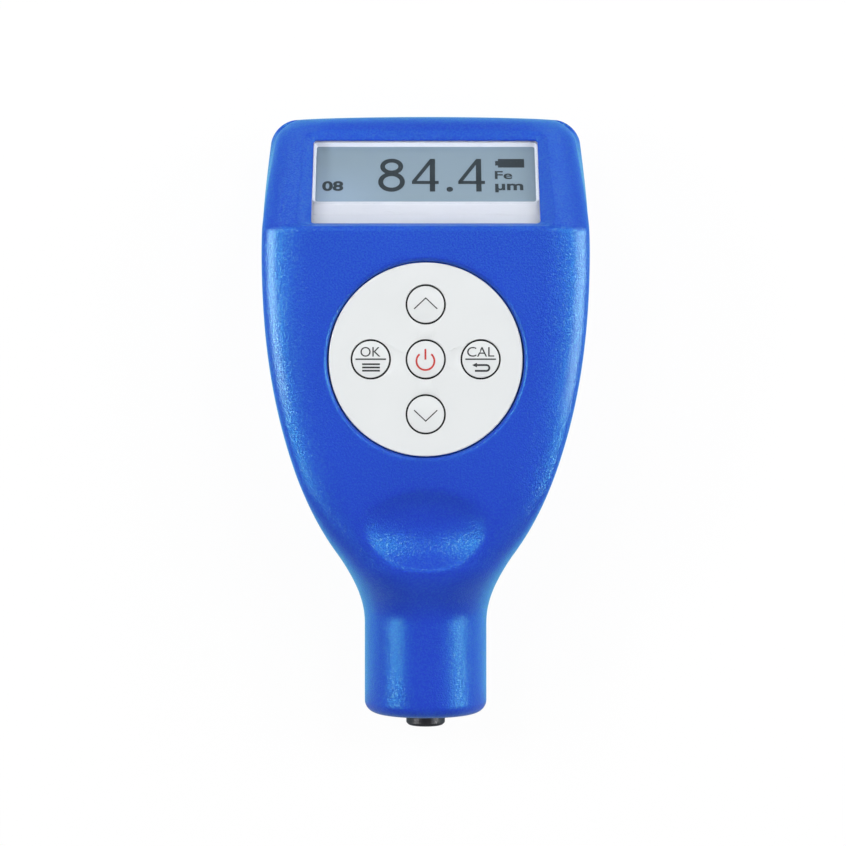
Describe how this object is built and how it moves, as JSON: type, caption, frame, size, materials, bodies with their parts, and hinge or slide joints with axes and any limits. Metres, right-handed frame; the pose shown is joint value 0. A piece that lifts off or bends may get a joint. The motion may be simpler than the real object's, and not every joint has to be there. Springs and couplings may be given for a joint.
{
  "type": "coating thickness gauge",
  "caption": "Pocket coating thickness gauge with a sloping display head, a round key pad, a thumb dimple and a sprung probe in a round neck.",
  "frame": {"origin": "middle of the footprint on the flat back, with the gauge lying on its back", "axes": "+X across the body to the right, +Y towards the display head, +Z out of the key face"},
  "size_m": [0.0592, 0.11, 0.026],
  "materials": {
    "case_blue": "pebbled moulded blue plastic",
    "window_clear": "clear polished acrylic",
    "display_white": "smooth white plastic",
    "lcd_grey": "grey-blue display glass",
    "ribbon_amber": "amber film",
    "socket_ivory": "moulded ivory plastic",
    "key_white": "satin white plastic",
    "moulded_black": "moulded black plastic",
    "board_green": "green circuit board",
    "bright_steel": "plain bright steel",
    "probe_steel": "dark ground steel",
    "copper_wire": "enamelled copper winding",
    "cell_jacket": "plain dark printed jacket"
  },
  "bodies": {
    "case": {"front_case": "case_blue", "rear_case": "case_blue", "display_window": "window_clear", "display_frame": "display_white", "lcd_panel": "lcd_grey", "backlight_panel": "display_white", "display_ribbon": "ribbon_amber", "ribbon_socket": "socket_ivory", "keypad_plate": "key_white", "key_switches": "moulded_black", "main_board": "board_green", "controller_chip": "moulded_black", "crystal_can": "bright_steel", "probe_socket": "socket_ivory", "board_screws": "bright_steel", "case_screws": "bright_steel", "battery_left": "cell_jacket", "battery_right": "cell_jacket", "bridge_contact": "bright_steel", "positive_contact": "bright_steel", "negative_contact": "bright_steel", "probe_spring": "bright_steel", "probe_guide": "moulded_black", "probe_cap": "moulded_black"},
    "up_button": {"up_key": "key_white", "up_plunger": "moulded_black"},
    "down_button": {"down_key": "key_white", "down_plunger": "moulded_black"},
    "ok_button": {"ok_key": "key_white", "ok_plunger": "moulded_black"},
    "cal_button": {"cal_key": "key_white", "cal_plunger": "moulded_black"},
    "power_button": {"power_key": "key_white", "power_plunger": "moulded_black"},
    "probe": {"probe_sleeve": "probe_steel", "probe_core": "bright_steel", "probe_bobbin": "socket_ivory", "probe_coil": "copper_wire"},
    "door": {"battery_door": "case_blue"}
  },
  "joints": [
    {"name": "up_press", "type": "slide", "parent": "case", "child": "up_button", "axis": [0, 0, -1], "range_m": [0, 0.0003], "stiffness_N_per_m": 3000, "springref_m": -0.0002},
    {"name": "down_press", "type": "slide", "parent": "case", "child": "down_button", "axis": [0, 0, -1], "range_m": [0, 0.0003], "stiffness_N_per_m": 3000, "springref_m": -0.0002},
    {"name": "ok_press", "type": "slide", "parent": "case", "child": "ok_button", "axis": [0, 0, -1], "range_m": [0, 0.0003], "stiffness_N_per_m": 3000, "springref_m": -0.0002},
    {"name": "cal_press", "type": "slide", "parent": "case", "child": "cal_button", "axis": [0, 0, -1], "range_m": [0, 0.0003], "stiffness_N_per_m": 3000, "springref_m": -0.0002},
    {"name": "power_press", "type": "slide", "parent": "case", "child": "power_button", "axis": [0, 0, -1], "range_m": [0, 0.0003], "stiffness_N_per_m": 3000, "springref_m": -0.0002},
    {"name": "probe_slide", "type": "slide", "parent": "case", "child": "probe", "axis": [0, 1, 0], "range_m": [0, 0.0025], "stiffness_N_per_m": 600, "springref_m": -0.003, "deforming": ["probe_spring"]},
    {"name": "door_hinge", "type": "hinge", "parent": "case", "child": "door", "pos_m": [0, -0.01295, 0.0016], "axis": [-1, 0, 0], "range_deg": [0, 90]}
  ]
}
